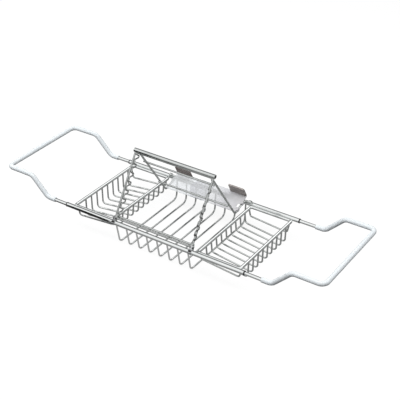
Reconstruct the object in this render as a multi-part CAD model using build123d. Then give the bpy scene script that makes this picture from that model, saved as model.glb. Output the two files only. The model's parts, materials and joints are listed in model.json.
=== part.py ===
from build123d import *
import os
from math import cos, sin, tan, radians, sqrt

# Extending bath caddy, millimetres, +Z up, +X along the rails.
# Coordinates below are first written from the middle of the two rails
# (x = 0 halfway along the tubes, y = 0 between them, z = 0 at tube centre
# height) and every piece is moved by SHIFT as it is exported.

# ---- rails ----
RAIL_Y = 100.0            # tube centre line to the middle plane
RAIL_HALF = 199.0         # half length of a rail tube
TUBE_OR = 4.4             # tube outer radius
TUBE_IR = 3.75            # tube inner radius
BUSH_BORE_R = 3.45        # guide bore in the end bush
BUSH_FLANGE_R = 4.6
BUSH_FLANGE_T = 2.2
BUSH_SPIGOT_L = 9.0

# ---- sliding handles ----
LEG_R = 3.40              # handle wire radius
COAT_R = 4.75             # vinyl coat outer radius
HANDLE_RISE = 37.5        # height of the raised part above the rail axis
LEFT_OUTER = 347.7        # posed distance of the left cross bar centre line
RIGHT_OUTER = 352.8       # posed distance of the right cross bar centre line
OUTER_TO_B1 = 98.5        # cross bar to the lower bend
OUTER_TO_B2 = 61.0        # cross bar to the upper bend
COAT_TO_B1 = 19.5         # coat end inboard of the lower bend
LEG_PAST_COAT = 187.0     # bare leg length from the coat end to its inner end
BEND_R = 18.0
CORNER_R = 12.0
GLIDE_R = 3.69
GLIDE_L = 60.0

# ---- centre basket ----
WIRE_R = 1.6
CENTRE_PITCH = 23.15
CENTRE_COUNT = 8
CENTRE_FLOOR = -46.0
CENTRE_FRONT_Y = -91.5
CENTRE_REAR_Y = 97.6

# ---- side baskets ----
RIM_IN = 97.0             # centre plane of the inner cross rim
RIM_OUT = 186.5           # centre plane of the outer cross rim
RIM_R = 3.2               # radius of the round rim
RIM_Z = -1.2              # height of its centre line
RIM_Y = 92.6              # centre line of the rim's sides along the rails
RIM_CORNER = 4.6
SIDE_R = 1.6
SIDE_PITCH = 16.93
SIDE_COUNT = 9
SIDE_MID_Y = 5.6          # the middle wire of the nine
SIDE_IN_X, SIDE_IN_Z = 97.4, -27.0
SIDE_OUT_X, SIDE_OUT_Z = 185.0, -38.0
GUARD_Y = 86.0
GUARD_IN_X, GUARD_IN_Z = 100.7, -17.4
GUARD_OUT_X, GUARD_OUT_Z = 181.5, -24.6

# ---- book support: swinging prop ----
PROP_R = 1.9
PROP_X = 86.5
PROP_LEAN = 58.4          # degrees above the horizontal, leaning to +Y
PROP_S0 = 9.0
PROP_S1 = 142.0
PROP_CORNER = 6.0
TOP_TUBE_OR = 4.2         # tube across the top of the prop, small bore
TOP_TUBE_IR = 2.2
TOP_TUBE_HALF = 89.5
NOTCH_R = 1.4
NOTCH_X = 83.4
NOTCH_BASE = 1.0
NOTCH_TIP = 10.8
NOTCH_PITCH = 17.4
NOTCH_COUNT = 7
SEAT_S, SEAT_T = 138.0, 5.6
SEAT_DROP = 3.8           # seat centre above the tooth's wire centre
CLIP_BORE_R = 4.45
CLIP_OR = 5.5
CLIP_W = 6.6

# ---- book support: tilting book rest ----
ROD_R = 2.0
ROD_HALF = 85.5
FOOT_Y, FOOT_Z = 60.4, -5.5
PIVOT_Y, PIVOT_Z = 96.0, 6.2      # hinge axis of the book rest, over the rear rail
FOOT_X = 80.8
TOP_X = 79.4
EYE_OR = 3.5
EYE_BORE_R = 2.05
EYE_X0, EYE_X1 = 91.0, 96.0
CROSS_R = 1.8
SHEET_HALF = 81.5
SHEET_T = 1.1             # two sheets lie one on the other where they overlap
SHEET_U0, SHEET_U1 = 1.5, 48.0
SHEET_LAP_LEFT = 8.0      # right end of the left sheet
LIP_T = 3.0
LIP_TOP = 27.0
LIP_X0, LIP_X1 = 45.3, 80.5

SHIFT = (-2.55, 0.0, 47.6)

os.makedirs("parts", exist_ok=True)


def out(shape, name):
    solids = shape if isinstance(shape, list) else [shape]
    moved = []
    for item in solids:
        for solid in item.solids():
            moved.append(solid.moved(Location(SHIFT)))
    whole = moved[0] if len(moved) == 1 else Compound(children=moved)
    export_step(whole, "parts/" + name + ".step")


# a path of straight runs joined by tangent arcs
def bent_path(points, radii):
    pts = [Vector(*p) for p in points]
    edges = []
    start = pts[0]
    for i in range(1, len(pts) - 1):
        r = radii[i - 1] if isinstance(radii, (list, tuple)) else radii
        d_in = (pts[i] - pts[i - 1]).normalized()
        d_out = (pts[i + 1] - pts[i]).normalized()
        half = radians(d_in.get_angle(d_out)) / 2
        a = pts[i] - d_in * (r * tan(half))
        b = pts[i] + d_out * (r * tan(half))
        bis = (d_out - d_in).normalized()
        c = pts[i] + bis * (r / cos(half))
        edges.append(Line(start, a))
        edges.append(ThreePointArc(a, c - bis * r, b))
        start = b
    edges.append(Line(start, pts[-1]))
    return Wire(edges)


# a round bar, solid or hollow, along such a path
def bar(points, radii, r, r_in=0.0):
    path = bent_path(points, radii)
    plane = Plane(origin=path.position_at(0), z_dir=path.tangent_at(0))
    section = Circle(r)
    if r_in > 0:
        section = section - Circle(r_in)
    return sweep(plane * section, path=path)


def mirror_x(shape):
    return mirror(shape, about=Plane.YZ)


def mirror_y(shape):
    return mirror(shape, about=Plane.XZ)


# a cylinder along X from x0 to x1 at (y, z)
def x_cylinder(r, x0, x1, y, z):
    return Location(((x0 + x1) / 2, y, z)) * Cylinder(r, abs(x1 - x0), rotation=(0, 90, 0))


# a flat profile in the YZ plane pushed along X from x0 to x1
def x_plate(points, x0, x1):
    face = make_face(Polyline(*[Vector(x0, p[0], p[1]) for p in points], close=True))
    return extrude(face, amount=x1 - x0, dir=(1, 0, 0))


# ------------------------------------------------------------------ rails
for name, y in (("front_rail_tube", -RAIL_Y), ("rear_rail_tube", RAIL_Y)):
    tube = x_cylinder(TUBE_OR, -RAIL_HALF, RAIL_HALF, y, 0) - x_cylinder(TUBE_IR, -RAIL_HALF - 1, RAIL_HALF + 1, y, 0)
    out(tube, name)

# guide bush: flange outside the tube mouth, spigot inside it
bush = x_cylinder(BUSH_FLANGE_R, RAIL_HALF, RAIL_HALF + BUSH_FLANGE_T, 0, 0)
bush = fillet(bush.edges().filter_by(GeomType.CIRCLE).sort_by(Axis.X)[-1], 0.8)
bush = bush + x_cylinder(TUBE_IR, RAIL_HALF - BUSH_SPIGOT_L, RAIL_HALF, 0, 0)
bush = bush - x_cylinder(BUSH_BORE_R, RAIL_HALF - BUSH_SPIGOT_L - 1, RAIL_HALF + BUSH_FLANGE_T + 1, 0, 0)
bushes = []
for y in (-RAIL_Y, RAIL_Y):
    right = bush.moved(Location((0, y, 0)))
    bushes += [right, mirror_x(right)]
out(bushes, "tube_end_bushes")


# ---------------------------------------------------------- sliding handles
# drawn for the right-hand side with the cross bar at x = outer
def handle(outer):
    b1 = outer - OUTER_TO_B1
    b2 = outer - OUTER_TO_B2
    coat = b1 - COAT_TO_B1
    inner = coat - LEG_PAST_COAT
    rise = HANDLE_RISE
    core = [(inner, -RAIL_Y, 0), (b1, -RAIL_Y, 0), (b2, -RAIL_Y, rise), (outer, -RAIL_Y, rise),
            (outer, RAIL_Y, rise), (b2, RAIL_Y, rise), (b1, RAIL_Y, 0), (inner, RAIL_Y, 0)]
    radii = [BEND_R, BEND_R, CORNER_R, CORNER_R, BEND_R, BEND_R]
    wire = bar(core, radii, LEG_R)
    shell = list(core)
    shell[0] = (coat, -RAIL_Y, 0)
    shell[-1] = (coat, RAIL_Y, 0)
    sleeve = bar(shell, radii, COAT_R, LEG_R)
    glides = []
    for y in (-RAIL_Y, RAIL_Y):
        glides.append(x_cylinder(GLIDE_R, inner, inner + GLIDE_L, y, 0)
                      - x_cylinder(LEG_R, inner - 1, inner + GLIDE_L + 1, y, 0))
    return wire, sleeve, glides


wire, sleeve, glides = handle(RIGHT_OUTER)
out(wire, "right_handle_wire")
out(sleeve, "right_handle_sleeve")
out(glides, "right_leg_glides")
wire, sleeve, glides = handle(LEFT_OUTER)
out(mirror_x(wire), "left_handle_wire")
out(mirror_x(sleeve), "left_handle_sleeve")
out([mirror_x(g) for g in glides], "left_leg_glides")

# ------------------------------------------------------------ centre basket
hoops = []
for i in range(CENTRE_COUNT):
    x = (i - (CENTRE_COUNT - 1) / 2) * CENTRE_PITCH
    hoops.append(bar([(x, -RAIL_Y, -4.05), (x, CENTRE_FRONT_Y, CENTRE_FLOOR),
                      (x, CENTRE_REAR_Y, CENTRE_FLOOR), (x, RAIL_Y, -4.05)],
                     [10.0, 12.0], WIRE_R))
out(hoops, "centre_basket_wires")

# ------------------------------------------------------------- side baskets
rim_mid = (RIM_IN + RIM_OUT) / 2
half_rims = []
for x in (RIM_IN, RIM_OUT):
    half_rims.append(bar([(rim_mid, -RIM_Y, RIM_Z), (x, -RIM_Y, RIM_Z), (x, RIM_Y, RIM_Z), (rim_mid, RIM_Y, RIM_Z)],
                         RIM_CORNER, RIM_R))
ring = half_rims[0] + half_rims[1]
out(ring, "right_basket_rim")
out(mirror_x(ring), "left_basket_rim")

# each wire is welded under the rim at both ends
RIM_FOOT = RIM_Z - RIM_R + 0.8
side = []
for i in range(SIDE_COUNT):
    y = SIDE_MID_Y + (i - (SIDE_COUNT - 1) / 2) * SIDE_PITCH
    side.append(bar([(RIM_IN - 1.8, y, RIM_FOOT + 0.2), (SIDE_IN_X, y, SIDE_IN_Z),
                     (SIDE_OUT_X, y, SIDE_OUT_Z), (RIM_OUT - 0.9, y, RIM_FOOT)],
                    [7.5, 6.0], SIDE_R))
out(side, "right_basket_wires")
out([mirror_x(s) for s in side], "left_basket_wires")

guards = []
for y in (-GUARD_Y, GUARD_Y):
    guards.append(bar([(RIM_IN + 0.6, y, RIM_FOOT), (GUARD_IN_X, y, GUARD_IN_Z), (GUARD_OUT_X, y, GUARD_OUT_Z),
                       (RIM_OUT - 0.6, y, RIM_FOOT)], [4.0, 5.0], SIDE_R))
out(guards, "right_guard_wires")
out([mirror_x(g) for g in guards], "left_guard_wires")

# --------------------------------------------------------- swinging prop
# s runs up the leg from the front rail axis, t square to it towards the rear
PC, PS = cos(radians(PROP_LEAN)), sin(radians(PROP_LEAN))


def prop_point(x, s, t):
    return (x, -RAIL_Y + s * PC + t * PS, s * PS - t * PC)


top_y0, top_z0 = prop_point(0, PROP_S1, 0)[1:]
top_tube = (x_cylinder(TOP_TUBE_OR, -TOP_TUBE_HALF, TOP_TUBE_HALF, top_y0, top_z0)
            - x_cylinder(TOP_TUBE_IR, -TOP_TUBE_HALF - 1, TOP_TUBE_HALF + 1, top_y0, top_z0))
out(top_tube, "prop_top_tube")

# the frame wire: bar near the rail, a corner in each clip, a leg up each side to the tube
half_loop = bar([prop_point(0, PROP_S0, 0), prop_point(PROP_X, PROP_S0, 0),
                 prop_point(PROP_X, PROP_S1 - TOP_TUBE_OR + 0.3, 0)], [PROP_CORNER], PROP_R)
prop = half_loop + mirror_x(half_loop)
out(prop, "prop_frame_wire")

lower_bar = bar([prop_point(-NOTCH_X - 2.5, 12.5, 6.5), prop_point(NOTCH_X + 2.5, 12.5, 6.5)], [], ROD_R)
out(lower_bar, "prop_lower_bar")

# toothed wire: each tooth's upper side carries the book rest's top rod
notch_pts = [(13.6, 4.6), (18.2, NOTCH_BASE)]
notch_rad = [2.0]
for k in range(NOTCH_COUNT - 1, -1, -1):
    s = SEAT_S - k * NOTCH_PITCH
    up = s - SEAT_DROP
    notch_pts += [(s - 13.2, NOTCH_BASE), (s - 8.6, NOTCH_TIP), (up - 0.9, NOTCH_TIP), (up, NOTCH_BASE)]
    notch_rad += [1.8, 1.8, 1.8, 1.8]
notch_pts.append((PROP_S1 - TOP_TUBE_OR + 0.4, NOTCH_BASE))
# the first tooth starts right above the lower run, so the two corners merge
notch_pts.pop(1)
notch_rad.pop(0)
notch = bar([prop_point(NOTCH_X, s, t) for s, t in notch_pts], notch_rad, NOTCH_R)
out(notch, "right_notch_wire")
out(mirror_x(notch), "left_notch_wire")

# snap clip: split ring round the rail with a block that grips the loop corner
front_pivot = (-RAIL_Y, 0.0)
clip_x0, clip_x1 = 83.1, 83.1 + CLIP_W


def slab(x0, x1, s0, s1, t0, t1):
    a, b, c, d = (prop_point(0, s0, t0), prop_point(0, s1, t0), prop_point(0, s1, t1), prop_point(0, s0, t1))
    return x_plate([a[1:], b[1:], c[1:], d[1:]], x0, x1)


clip = x_cylinder(CLIP_OR, clip_x0, clip_x1, -RAIL_Y, 0) + slab(clip_x0, clip_x1, 0, 11.6, -2.9, 2.9)
clip = clip - x_cylinder(CLIP_BORE_R, clip_x0 - 1, clip_x1 + 1, -RAIL_Y, 0)
clip = clip - slab(clip_x0 - 1, clip_x1 + 1, -9.0, 0, -2.6, 2.6)
clip = clip - prop
clip = max(clip.solids(), key=lambda q: q.volume)
out(clip, "right_front_clip")
out(mirror_x(clip), "left_front_clip")

# ------------------------------------------------------------- book rest
# u runs from the foot bend up to the hinge and over the rear rail, v square to it, upwards
ARM_LEN = sqrt((PIVOT_Y - FOOT_Y) ** 2 + (PIVOT_Z - FOOT_Z) ** 2)
UC, US = (PIVOT_Y - FOOT_Y) / ARM_LEN, (PIVOT_Z - FOOT_Z) / ARM_LEN


def ledge_point(x, u, v):
    return (x, FOOT_Y + u * UC - v * US, FOOT_Z + u * US + v * UC)


seat = prop_point(0, SEAT_S, SEAT_T)
top_y, top_z = seat[1], seat[2]
rod = x_cylinder(ROD_R, -ROD_HALF, ROD_HALF, top_y, top_z)
rod = chamfer(rod.edges().filter_by(GeomType.CIRCLE), 0.4)
out(rod, "book_top_rod")

# each side: leg down from the rod, foot bend, arm over the rear rail, end turned outwards
run = Vector(FOOT_X - TOP_X, FOOT_Y - top_y, FOOT_Z - top_z).normalized()
leg_start = (TOP_X + run.X * 1.9, top_y + run.Y * 1.9, top_z + run.Z * 1.9)
leg = bar([leg_start, (FOOT_X, FOOT_Y, FOOT_Z), (FOOT_X, PIVOT_Y, PIVOT_Z), (EYE_X1 - 1.0, PIVOT_Y, PIVOT_Z)],
          [6.0, 5.0], ROD_R)
out(leg, "right_book_leg")
out(mirror_x(leg), "left_book_leg")

# cross wires under the legs
norm_y, norm_z = -(top_z - FOOT_Z), (top_y - FOOT_Y)
length = sqrt(norm_y ** 2 + norm_z ** 2)
norm_y, norm_z = norm_y / length, norm_z / length
for name, z_at, half in (("upper_cross_wire", 95.6, 79.6), ("lower_cross_wire", 26.6, 80.8)):
    f = (z_at - FOOT_Z) / (top_z - FOOT_Z)
    y_at = FOOT_Y + f * (top_y - FOOT_Y)
    cross = x_cylinder(CROSS_R, -half, half, y_at + norm_y * 3.7, z_at + norm_z * 3.7)
    out(chamfer(cross.edges().filter_by(GeomType.CIRCLE), 0.3), name)


def ledge_slab(x0, x1, u0, u1, v0, v1):
    pts = [ledge_point(0, u0, v0), ledge_point(0, u1, v0), ledge_point(0, u1, v1), ledge_point(0, u0, v1)]
    return x_plate([p[1:] for p in pts], x0, x1)


# clear ledge: two thin sheets, each held to its own arm by two snap lugs
V_SHEET = ROD_R


def flat_sheet(outline, rounds, v0):
    # outline in (x, u); rounds gives each corner's radius
    base = Plane(origin=ledge_point(0, 0, v0), x_dir=(1, 0, 0), z_dir=(0, -US, UC))
    face = make_face(Polyline(*[Vector(x, u, 0) for x, u in outline], close=True))
    for (x, u), r in zip(outline, rounds):
        if r > 0:
            corner = face.vertices().sort_by_distance((x, u, 0))[0]
            face = fillet(corner, r)
    return extrude(base * face, amount=SHEET_T)


def lugs_for(x, top):
    lugs = None
    for u0, u1 in ((7.0, 12.5), (24.5, 30.5)):
        lug = bar([ledge_point(x, u0, 0), ledge_point(x, u1, 0)], [], ROD_R + 1.2)
        lug = lug - ledge_slab(x - 10, x + 10, u0 - 1, u1 + 1, -8.0, -1.2)
        lug = lug + ledge_slab(x - 2.4, x + 2.4, u0, u1, 0.0, top)
        lugs = lug if lugs is None else lugs + lug
    return lugs


left_outline = [(-SHEET_HALF, SHEET_U0), (SHEET_LAP_LEFT, SHEET_U0), (SHEET_LAP_LEFT, SHEET_U1), (-SHEET_HALF, SHEET_U1)]
left_sheet = flat_sheet(left_outline, [2.0, 6.0, 6.0, 5.0], V_SHEET)
left_sheet = left_sheet + lugs_for(-FOOT_X, V_SHEET + SHEET_T) - mirror_x(leg)
out(left_sheet, "left_ledge_sheet")

right_outline = [(-23.0, SHEET_U0), (SHEET_HALF, SHEET_U0), (SHEET_HALF, SHEET_U1), (-28.0, SHEET_U1), (-38.5, 27.0)]
right_sheet = flat_sheet(right_outline, [2.5, 2.0, 5.0, 4.0, 9.0], V_SHEET + SHEET_T)
right_sheet = right_sheet - x_plate([ledge_point(0, 13.6, -5)[1:], ledge_point(0, 23.4, -5)[1:],
                                     ledge_point(0, 23.4, 9)[1:], ledge_point(0, 13.6, 9)[1:]], 75.0, 90.0)
right_sheet = right_sheet + lugs_for(FOOT_X, V_SHEET + 2 * SHEET_T) - leg
out(right_sheet, "right_ledge_sheet")

# page lip: upright plate standing on the outer edge of each sheet
lip_tilt = radians(11.0)


def lip_profile(foot_v):
    pts = []
    for n, h in ((0, 0), (LIP_T, 0), (LIP_T, LIP_TOP - foot_v), (0, LIP_TOP - foot_v)):
        u = SHEET_U1 - 0.4 - LIP_T + n * cos(lip_tilt) - h * sin(lip_tilt)
        v = foot_v + n * sin(lip_tilt) + h * cos(lip_tilt)
        pts.append(ledge_point(0, u, v)[1:])
    return pts


def page_lip(foot_v):
    lip = x_plate(lip_profile(foot_v - 1.0), LIP_X0, LIP_X1)
    lip = lip - ledge_slab(LIP_X0 - 5, LIP_X1 + 5, 30.0, 55.0, foot_v - 6.0, foot_v)
    for x, r in ((LIP_X1, 4.5), (LIP_X0, 1.2)):
        tops = [e for e in lip.edges().filter_by(GeomType.LINE)
                if abs(e.center().X - x) < 0.01 and abs(e.length - LIP_T) < 0.05]
        top = max(tops, key=lambda e: e.center().Z)
        lip = fillet(top, r)
    return lip


out(page_lip(V_SHEET + 2 * SHEET_T), "right_page_lip")
out(mirror_x(page_lip(V_SHEET + SHEET_T)), "left_page_lip")

# eyelets on the rear rail that hold the outward ends of the arms
eyes = []
for x0, x1 in ((EYE_X0, EYE_X1), (-EYE_X1, -EYE_X0)):
    eye = x_cylinder(EYE_OR, x0, x1, PIVOT_Y, PIVOT_Z) - x_cylinder(EYE_BORE_R, x0 - 1, x1 + 1, PIVOT_Y, PIVOT_Z)
    eyes.append(eye)
out(eyes, "rear_pivot_eyelets")
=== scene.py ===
import bpy
import json
from math import radians, sin, cos
from mathutils import Matrix, Vector

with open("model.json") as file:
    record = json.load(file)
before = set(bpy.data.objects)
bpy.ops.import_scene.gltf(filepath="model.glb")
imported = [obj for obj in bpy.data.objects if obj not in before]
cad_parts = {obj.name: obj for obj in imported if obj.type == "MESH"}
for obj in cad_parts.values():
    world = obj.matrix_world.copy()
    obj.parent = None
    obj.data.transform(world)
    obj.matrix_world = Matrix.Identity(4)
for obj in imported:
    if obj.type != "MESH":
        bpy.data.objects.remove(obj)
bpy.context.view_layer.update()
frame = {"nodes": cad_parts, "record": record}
NODES = frame["nodes"]
SHIFT = Vector((-0.00255, 0.0, 0.0476))      # from the rails' middle to the part's origin


# ------------------------------------------------------------------ node helpers
def new_material(name):
    mat = bpy.data.materials.new(name)
    mat.use_nodes = True
    nt = mat.node_tree
    for n in list(nt.nodes):
        nt.nodes.remove(n)
    out = nt.nodes.new("ShaderNodeOutputMaterial")
    bsdf = nt.nodes.new("ShaderNodeBsdfPrincipled")
    nt.links.new(bsdf.outputs[0], out.inputs[0])
    return mat, nt, bsdf


def coords(nt, scale=(1, 1, 1)):
    tc = nt.nodes.new("ShaderNodeTexCoord")
    mp = nt.nodes.new("ShaderNodeMapping")
    mp.inputs["Scale"].default_value = scale
    nt.links.new(tc.outputs["Object"], mp.inputs["Vector"])
    return mp.outputs[0]


def noise(nt, vec, scale, detail=3.0, rough=0.5):
    n = nt.nodes.new("ShaderNodeTexNoise")
    n.inputs["Scale"].default_value = scale
    n.inputs["Detail"].default_value = detail
    n.inputs["Roughness"].default_value = rough
    nt.links.new(vec, n.inputs["Vector"])
    return n.outputs["Fac"]


def ramp(nt, fac, stops):
    r = nt.nodes.new("ShaderNodeValToRGB")
    els = r.color_ramp.elements
    while len(els) < len(stops):
        els.new(0.5)
    for e, (p, c) in zip(els, stops):
        e.position = p
        e.color = c if len(c) == 4 else (*c, 1)
    nt.links.new(fac, r.inputs[0])
    return r.outputs[0]


def remap(nt, fac, lo, hi, from_lo=0.0, from_hi=1.0):
    m = nt.nodes.new("ShaderNodeMapRange")
    m.inputs["From Min"].default_value = from_lo
    m.inputs["From Max"].default_value = from_hi
    m.inputs["To Min"].default_value = lo
    m.inputs["To Max"].default_value = hi
    nt.links.new(fac, m.inputs["Value"])
    return m.outputs[0]


def bump(nt, bsdf, height, strength, distance, before=None):
    b = nt.nodes.new("ShaderNodeBump")
    b.inputs["Strength"].default_value = strength
    b.inputs["Distance"].default_value = distance
    nt.links.new(height, b.inputs["Height"])
    if before is not None:
        nt.links.new(before, b.inputs["Normal"])
    nt.links.new(b.outputs[0], bsdf.inputs["Normal"])
    return b.outputs[0]


def mix(nt, fac, a, b, mode="MIX"):
    m = nt.nodes.new("ShaderNodeMix")
    m.data_type = "RGBA"
    m.blend_type = mode
    if isinstance(fac, (int, float)):
        m.inputs[0].default_value = fac
    else:
        nt.links.new(fac, m.inputs[0])
    for sock, v in ((m.inputs[6], a), (m.inputs[7], b)):
        if isinstance(v, tuple):
            sock.default_value = v if len(v) == 4 else (*v, 1)
        else:
            nt.links.new(v, sock)
    return m.outputs[2]


# ------------------------------------------------------------------ materials
def chrome(name, lo, hi, rough_lo, rough_hi, pit, painted_shade=None, front_highlight=None):
    mat, nt, b = new_material(name)
    v = coords(nt)
    cloud = noise(nt, v, 38.0, 4.0, 0.6)
    fine = noise(nt, v, 900.0, 3.0, 0.6)
    spots = noise(nt, v, 260.0, 2.0, 0.4)
    plate = ramp(nt, cloud, [(0.30, lo), (0.72, hi)])
    if front_highlight is not None:
        # painted highlight: a paler plating colour on the front legs of the hoops, where they catch more light
        front = nt.nodes.new("ShaderNodeSeparateXYZ")
        nt.links.new(v, front.inputs[0])
        plate = mix(nt, remap(nt, front.outputs[1], 1.0, 0.0, -0.090, -0.076), plate, front_highlight)
    if painted_shade is not None:
        # painted shade: near black mixed over the plating wherever the mask is set
        plate = mix(nt, painted_shade(nt, cloud), plate, (0.016, 0.015, 0.015))
    nt.links.new(plate, b.inputs["Base Color"])
    b.inputs["Metallic"].default_value = 1.0
    dry = remap(nt, spots, 0.0, 1.0, 0.62, 0.70)
    base = remap(nt, cloud, rough_lo, rough_hi, 0.3, 0.75)
    add = nt.nodes.new("ShaderNodeMath")
    add.operation = "MULTIPLY_ADD"
    add.inputs[1].default_value = 0.10
    nt.links.new(dry, add.inputs[0])
    nt.links.new(base, add.inputs[2])
    nt.links.new(add.outputs[0], b.inputs["Roughness"])
    first = bump(nt, b, fine, 0.10, pit)
    bump(nt, b, cloud, 0.15, 0.0004, first)
    return mat


def maths(nt, op, a, b=None, c=None):
    m = nt.nodes.new("ShaderNodeMath")
    m.operation = op
    for sock, v in zip(m.inputs, (a, b, c)):
        if v is None:
            continue
        if isinstance(v, (int, float)):
            sock.default_value = v
        else:
            nt.links.new(v, sock)
    return m.outputs[0]


def near_point(nt, vec, centre, half):
    # 1 inside a soft-edged ellipsoid round the point, 0 outside
    off = nt.nodes.new("ShaderNodeVectorMath")
    off.operation = "SUBTRACT"
    off.inputs[1].default_value = centre
    nt.links.new(vec, off.inputs[0])
    div = nt.nodes.new("ShaderNodeVectorMath")
    div.operation = "DIVIDE"
    div.inputs[1].default_value = half
    nt.links.new(off.outputs[0], div.inputs[0])
    ln = nt.nodes.new("ShaderNodeVectorMath")
    ln.operation = "LENGTH"
    nt.links.new(div.outputs[0], ln.inputs[0])
    return remap(nt, ln.outputs["Value"], 1.0, 0.0, 0.75, 1.15)


LEAN = radians(58.4)
# distances along the leg of the painted shade in the teeth crooks
SHADE_S = (0.0231, 0.0317, 0.0403, 0.0490, 0.0642, 0.0722, 0.0862, 0.1107)


def leg_painted_shade(nt, cloud):
    # painted shade: dark marks in the crooks of the right leg's teeth, where shade falls in the notches, placed by the
    # distance along the leg
    v = coords(nt)
    sep = nt.nodes.new("ShaderNodeSeparateXYZ")
    nt.links.new(v, sep.inputs[0])
    along = maths(nt, "ADD", maths(nt, "MULTIPLY", maths(nt, "ADD", sep.outputs[1], 0.1), cos(LEAN)),
                  maths(nt, "MULTIPLY", maths(nt, "ADD", sep.outputs[2], -SHIFT.z), sin(LEAN)))
    total = None
    for k, s in enumerate(SHADE_S):
        d = maths(nt, "ABSOLUTE", maths(nt, "ADD", along, -s))
        one = remap(nt, d, 0.93, 0.0, 0.0012, 0.0021 + 0.0003 * (k % 3))
        total = one if total is None else maths(nt, "MAXIMUM", total, one)
    side = remap(nt, sep.outputs[0], 0.0, 1.0, 0.02, 0.03)
    wide = remap(nt, cloud, 0.55, 1.0, 0.3, 0.6)
    return maths(nt, "MULTIPLY", maths(nt, "MULTIPLY", total, side), wide)


def clip_painted_shade(side):
    def painted_shade(nt, cloud):
        # painted shade: a dark mouth on the clip's front at the rail and two dark pits where the wires enter the
        # block, painted where no recess is modelled
        v = coords(nt)
        x = side * 0.0864 + SHIFT.x
        a = near_point(nt, v, (x, -0.1036, SHIFT.z + 0.0042), (0.0042, 0.0022, 0.0019))
        b = near_point(nt, v, (x - 0.0024, -0.0985, SHIFT.z + 0.0088), (0.0014, 0.0042, 0.0019))
        c = near_point(nt, v, (x + 0.0026, -0.0975, SHIFT.z + 0.0084), (0.0013, 0.0042, 0.0017))
        return maths(nt, "MULTIPLY", maths(nt, "MAXIMUM", a, maths(nt, "MAXIMUM", b, c)), 0.97)
    return painted_shade


# painted light and shade: these chrome looks are one plating given different tones, paler on the tubes and rims for
# brighter reflections and darker on the legs, hoops and wires for duller ones
CHROME_TUBE = chrome("chrome_tube_look", (0.65, 0.668, 0.662), (0.75, 0.768, 0.762), 0.05, 0.12, 0.00003)
CHROME_WIRE = chrome("chrome_wire_look", (0.49, 0.508, 0.498), (0.60, 0.618, 0.608), 0.07, 0.16, 0.00003)

CHROME_LEG = chrome("chrome_leg_look", (0.35, 0.362, 0.354), (0.48, 0.494, 0.485), 0.08, 0.18, 0.00003, leg_painted_shade)
# the hoop look carries the painted highlight on its front legs
CHROME_HOOP = chrome("chrome_hoop_look", (0.42, 0.436, 0.427), (0.53, 0.546, 0.537), 0.07, 0.16, 0.00003, None, (0.97, 0.98, 0.975))
CLIP_RIGHT = chrome("clip_right_look", (0.44, 0.45, 0.455), (0.60, 0.61, 0.615), 0.10, 0.20, 0.00003, clip_painted_shade(1))
CLIP_LEFT = chrome("clip_left_look", (0.44, 0.45, 0.455), (0.60, 0.61, 0.615), 0.10, 0.20, 0.00003, clip_painted_shade(-1))


def vinyl():
    mat, nt, b = new_material("white_vinyl_look")
    v = coords(nt)
    cloud = noise(nt, v, 22.0, 4.0, 0.55)
    orange = noise(nt, v, 420.0, 2.0, 0.5)
    scuff = noise(nt, coords(nt, (0.25, 1.0, 1.0)), 330.0, 5.0, 0.7)
    col = ramp(nt, cloud, [(0.25, (0.80, 0.85, 0.88)), (0.75, (0.86, 0.90, 0.92))])
    mark = remap(nt, scuff, 0.0, 0.10, 0.68, 0.82)
    nt.links.new(mix(nt, mark, col, (0.66, 0.68, 0.69)), b.inputs["Base Color"])
    nt.links.new(remap(nt, cloud, 0.42, 0.58, 0.3, 0.7), b.inputs["Roughness"])
    b.inputs["Coat Weight"].default_value = 0.06
    b.inputs["Specular IOR Level"].default_value = 0.22
    b.inputs["Coat Roughness"].default_value = 0.22
    b.inputs["Subsurface Weight"].default_value = 0.06
    b.inputs["Subsurface Radius"].default_value = (0.002, 0.002, 0.002)
    first = bump(nt, b, orange, 0.035, 0.0001)
    bump(nt, b, cloud, 0.08, 0.0004, first)
    return mat


def moulded(name, dark, light, rough_lo, rough_hi, grain, depth):
    mat, nt, b = new_material(name)
    v = coords(nt)
    cloud = noise(nt, v, 90.0, 3.0, 0.5)
    fine = noise(nt, v, grain, 2.0, 0.6)
    nt.links.new(ramp(nt, cloud, [(0.3, dark), (0.75, light)]), b.inputs["Base Color"])
    nt.links.new(remap(nt, fine, rough_lo, rough_hi, 0.3, 0.7), b.inputs["Roughness"])
    bump(nt, b, fine, 0.4, depth)
    return mat


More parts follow.
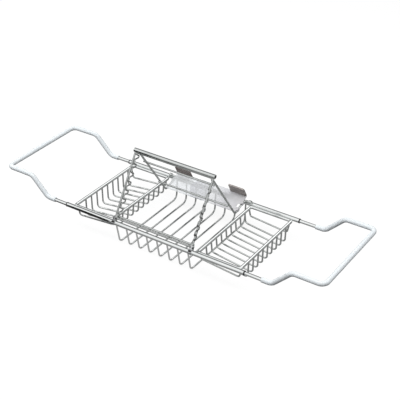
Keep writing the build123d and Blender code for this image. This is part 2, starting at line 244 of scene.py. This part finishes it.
def clear_sheet(name, stops, gloss, painted_end_reflection):
    # thin clear plastic: what lies behind shows through its tint, with a soft sheen on top
    mat, nt, b = new_material(name)
    out = [n for n in nt.nodes if n.type == "OUTPUT_MATERIAL"][0]
    v = coords(nt)
    cloud = noise(nt, v, 16.0, 3.0, 0.5)
    scratch = noise(nt, coords(nt, (0.15, 1.0, 1.0)), 700.0, 4.0, 0.7)
    sep = nt.nodes.new("ShaderNodeSeparateXYZ")
    nt.links.new(v, sep.inputs[0])
    # tint along the sheet's length; on the right sheet its darkening toward the far end is painted reflection
    along = remap(nt, sep.outputs[0], 0.0, 1.0, -0.085, 0.080)
    tint = ramp(nt, along, stops)
    smear = ramp(nt, cloud, [(0.3, (0.94, 0.94, 0.95)), (0.7, (1.0, 1.0, 1.0))])
    clear = nt.nodes.new("ShaderNodeBsdfTransparent")
    nt.links.new(mix(nt, 1.0, tint, smear, "MULTIPLY"), clear.inputs["Color"])
    nt.links.new(mix(nt, 1.0, tint, (1.02, 1.02, 1.0), "MULTIPLY"), b.inputs["Base Color"])
    nt.links.new(remap(nt, scratch, 0.08, 0.22, 0.5, 0.75), b.inputs["Roughness"])
    b.inputs["IOR"].default_value = 1.49
    bump(nt, b, cloud, 0.2, 0.0008)
    lw = nt.nodes.new("ShaderNodeLayerWeight")
    lw.inputs["Blend"].default_value = 0.35
    both = nt.nodes.new("ShaderNodeMixShader")
    edge = remap(nt, lw.outputs["Facing"], gloss, 0.75, 0.35, 1.0)
    # painted reflection: the sheet turns opaque toward its far end, as far as the given amount
    end = remap(nt, sep.outputs[0], 0.0, painted_end_reflection, 0.018, 0.060)
    opaque = nt.nodes.new("ShaderNodeMath")
    opaque.operation = "MAXIMUM"
    nt.links.new(edge, opaque.inputs[0])
    nt.links.new(end, opaque.inputs[1])
    nt.links.new(opaque.outputs[0], both.inputs[0])
    nt.links.new(clear.outputs[0], both.inputs[1])
    nt.links.new(b.outputs[0], both.inputs[2])
    nt.links.new(both.outputs[0], out.inputs[0])
    return mat


VINYL = vinyl()
BLACK = moulded("black_plastic_look", (0.010, 0.010, 0.011), (0.030, 0.030, 0.031), 0.34, 0.55, 1400.0, 0.00006)
NYLON = moulded("nylon_look", (0.74, 0.74, 0.72), (0.84, 0.84, 0.82), 0.45, 0.6, 1200.0, 0.00005)
DARK = moulded("dark_plastic_look", (0.145, 0.115, 0.106), (0.29, 0.238, 0.22), 0.26, 0.44, 1100.0, 0.00005)
CLEAR_LEFT = clear_sheet("clear_left_look", [(0.0, (0.885, 0.90, 0.915)), (1.0, (0.875, 0.885, 0.905))], 0.42, 0.0)
# the right sheet's darker stops and opaque far end paint a grey reflection
CLEAR_RIGHT = clear_sheet("clear_right_look", [(0.28, (0.85, 0.855, 0.875)), (0.62, (0.83, 0.835, 0.85)), (0.85, (0.70, 0.70, 0.73)), (1.0, (0.68, 0.675, 0.705))], 0.36, 0.80)

# painted light: a paler copy of the dark lip plastic for the right lip
DARK_LIP_LIT = moulded("dark_plastic_lit_look", (0.24, 0.215, 0.205), (0.44, 0.40, 0.38), 0.26, 0.44, 1100.0, 0.00005)
LOOK = {"chrome_tube": CHROME_TUBE, "chrome_wire": CHROME_WIRE, "white_vinyl": VINYL, "black_plastic": BLACK,
        "nylon": NYLON, "clear_plastic": CLEAR_RIGHT, "dark_plastic": DARK}
OWN_LOOK = {"left_ledge_sheet": CLEAR_LEFT, "right_notch_wire": CHROME_LEG, "left_notch_wire": CHROME_LEG,
            "prop_frame_wire": CHROME_LEG, "prop_top_tube": CHROME_WIRE, "centre_basket_wires": CHROME_HOOP,
            "left_basket_rim": CHROME_TUBE, "right_basket_rim": CHROME_TUBE, "right_page_lip": DARK_LIP_LIT, "right_front_clip": CLIP_RIGHT, "left_front_clip": CLIP_LEFT}
for part in frame["record"]["subparts"]:
    node = NODES[part["node"]]
    mat = OWN_LOOK.get(part["node"], LOOK[part["material_slot"]])
    node.data.materials.clear()
    node.data.materials.append(mat)
    for poly in node.data.polygons:
        poly.material_index = 0


# ------------------------------------------------------------------ floor
FLOOR_DIFFUSE = 0.10
FLOOR_GLOSSY = 0.34


def build_floor():
    size = 9.0
    mesh = bpy.data.meshes.new("floor")
    mesh.from_pydata([(-size, -size, 0), (size, -size, 0), (size, size, 0), (-size, size, 0)], [], [(0, 1, 2, 3)])
    floor = bpy.data.objects.new("floor", mesh)
    bpy.context.scene.collection.objects.link(floor)
    floor.location.z = -0.0006
    mat = bpy.data.materials.new("floor_look")
    mat.use_nodes = True
    nt = mat.node_tree
    for n in list(nt.nodes):
        nt.nodes.remove(n)
    out = nt.nodes.new("ShaderNodeOutputMaterial")
    lp = nt.nodes.new("ShaderNodeLightPath")
    diff = nt.nodes.new("ShaderNodeBsdfDiffuse")
    diff.inputs["Color"].default_value = (0.16, 0.16, 0.16, 1)

    def glow(strength):
        em = nt.nodes.new("ShaderNodeEmission")
        em.inputs["Color"].default_value = (1, 1, 1, 1)
        em.inputs["Strength"].default_value = strength
        return em.outputs[0]

    def switch(flag, off, on):
        sw = nt.nodes.new("ShaderNodeMixShader")
        nt.links.new(lp.outputs[flag], sw.inputs[0])
        nt.links.new(off, sw.inputs[1])
        nt.links.new(on, sw.inputs[2])
        return sw.outputs[0]

    pale = nt.nodes.new("ShaderNodeAddShader")
    nt.links.new(diff.outputs[0], pale.inputs[0])
    nt.links.new(glow(0.87), pale.inputs[1])
    unseen = switch("Is Glossy Ray", glow(FLOOR_DIFFUSE), glow(FLOOR_GLOSSY))
    nt.links.new(switch("Is Camera Ray", unseen, pale.outputs[0]), out.inputs[0])
    mesh.materials.append(mat)
    return floor


build_floor()

# ------------------------------------------------------------------ light
world = bpy.data.worlds.new("studio")
bpy.context.scene.world = world
world.use_nodes = True
wn = world.node_tree
wbg = wn.nodes["Background"]
wtc = wn.nodes.new("ShaderNodeTexCoord")
wsep = wn.nodes.new("ShaderNodeSeparateXYZ")
wn.links.new(wtc.outputs["Generated"], wsep.inputs[0])
wside = wn.nodes.new("ShaderNodeVectorMath")
wside.operation = "DOT_PRODUCT"
wside.inputs[1].default_value = (0.35, -0.94, 0.0)
wn.links.new(wtc.outputs["Generated"], wside.inputs[0])
near = remap(wn, wside.outputs["Value"], 0.0, 1.0, -0.50, -0.16)
wfar = ramp(wn, wsep.outputs[2], [(0.0, (0.14, 0.14, 0.145)), (0.50, (0.22, 0.22, 0.225)), (0.85, (0.26, 0.265, 0.27)),
                                  (1.0, (0.50, 0.50, 0.50))])
wnear = ramp(wn, wsep.outputs[2], [(0.0, (0.72, 0.72, 0.73)), (0.35, (0.84, 0.84, 0.85)), (0.62, (1.0, 1.0, 1.0)),
                                   (1.0, (1.0, 1.0, 1.0))])
# a pale panel high behind the tray, seen only in the plating of the bars that run front to back
wback = wn.nodes.new("ShaderNodeVectorMath")
wback.operation = "DOT_PRODUCT"
wback.inputs[1].default_value = (0.02, 0.704, 0.710)
wn.links.new(wtc.outputs["Generated"], wback.inputs[0])
panel = remap(wn, wback.outputs["Value"], 0.0, 1.0, 0.905, 0.950)
wseen = mix(wn, panel, mix(wn, near, wfar, wnear), (1.35, 1.35, 1.35))
wbright = wn.nodes.new("ShaderNodeVectorMath")
wbright.operation = "SCALE"
wbright.inputs["Scale"].default_value = 1.25
wn.links.new(wseen, wbright.inputs[0])
wsoft = ramp(wn, wsep.outputs[2], [(0.0, (0.12, 0.12, 0.125)), (0.3, (0.34, 0.34, 0.345)), (0.6, (0.48, 0.48, 0.485)), (1.0, (0.66, 0.66, 0.66))])
wlp = wn.nodes.new("ShaderNodeLightPath")
wn.links.new(mix(wn, wlp.outputs["Is Diffuse Ray"], wbright.outputs[0], wsoft), wbg.inputs["Color"])
wbg.inputs["Strength"].default_value = 1.0
wwhite = wn.nodes.new("ShaderNodeBackground")
wwhite.inputs["Color"].default_value = (1, 1, 1, 1)
wmix = wn.nodes.new("ShaderNodeMixShader")
wn.links.new(wlp.outputs["Is Camera Ray"], wmix.inputs[0])
wn.links.new(wbg.outputs[0], wmix.inputs[1])
wn.links.new(wwhite.outputs[0], wmix.inputs[2])
wn.links.new(wmix.outputs[0], wn.nodes["World Output"].inputs[0])


def softbox(name, loc, target, size_x, size_y, power):
    light = bpy.data.lights.new(name, "AREA")
    light.shape = "RECTANGLE"
    light.size = size_x
    light.size_y = size_y
    light.energy = power
    ob = bpy.data.objects.new(name, light)
    bpy.context.scene.collection.objects.link(ob)
    ob.location = loc
    ob.rotation_euler = (Vector(target) - Vector(loc)).to_track_quat("-Z", "Y").to_euler()
    return ob


top_box = softbox("top_box", (0.0, -0.60, 2.0), (0, -0.1, 0), 2.6, 1.3, 31.0)
top_box.visible_glossy = False
softbox("left_box", (-2.2, -0.6, 1.5), (0, 0, 0.05), 1.0, 1.0, 8.0)


def dark_card(name, corners):
    # black studio card in front of the tray; only its reflection in the plating is seen
    mesh = bpy.data.meshes.new(name)
    mesh.from_pydata(corners, [], [(0, 1, 2, 3)])
    card = bpy.data.objects.new(name, mesh)
    bpy.context.scene.collection.objects.link(card)
    mat, nt, b = new_material(name + "_look")
    b.inputs["Base Color"].default_value = (0.01, 0.01, 0.01, 1)
    b.inputs["Roughness"].default_value = 0.9
    mesh.materials.append(mat)
    card.visible_camera = False
    card.visible_diffuse = False
    card.visible_shadow = False


dark_card("card_flat", [(-0.36, -0.34, 0.0015), (-0.13, -0.34, 0.0015), (-0.13, -0.108, 0.0015), (-0.36, -0.108, 0.0015)])
dark_card("card_upright", [(-0.345, -0.30, 0.002), (-0.225, -0.30, 0.002), (-0.225, -0.30, 0.22), (-0.345, -0.30, 0.22)])

# ------------------------------------------------------------------ camera
AZ, EL, DIST, F_PX, ROLL = 33.3106, 31.9521, 2.03485, 978.736, 0.4607
TARGET = Vector((-0.0568725, 0.1477449, -0.0679700)) + SHIFT
a, e, r = radians(AZ), radians(EL), radians(ROLL)
back = Vector((sin(a) * cos(e), -cos(a) * cos(e), sin(e)))
right = Vector((cos(a), sin(a), 0.0))
up = back.cross(right)
right2 = right * cos(r) + up * sin(r)
up2 = up * cos(r) - right * sin(r)
cam_data = bpy.data.cameras.new("camera")
cam_data.sensor_width = 36.0
cam_data.lens = F_PX / 400.0 * 36.0
cam_data.clip_start = 0.05
cam_data.clip_end = 60.0
cam = bpy.data.objects.new("camera", cam_data)
bpy.context.scene.collection.objects.link(cam)
rot = Matrix((right2, up2, back)).transposed()
cam.matrix_world = Matrix.Translation(TARGET + back * DIST) @ rot.to_4x4()
bpy.context.scene.camera = cam
bpy.context.scene.view_settings.view_transform = "Standard"
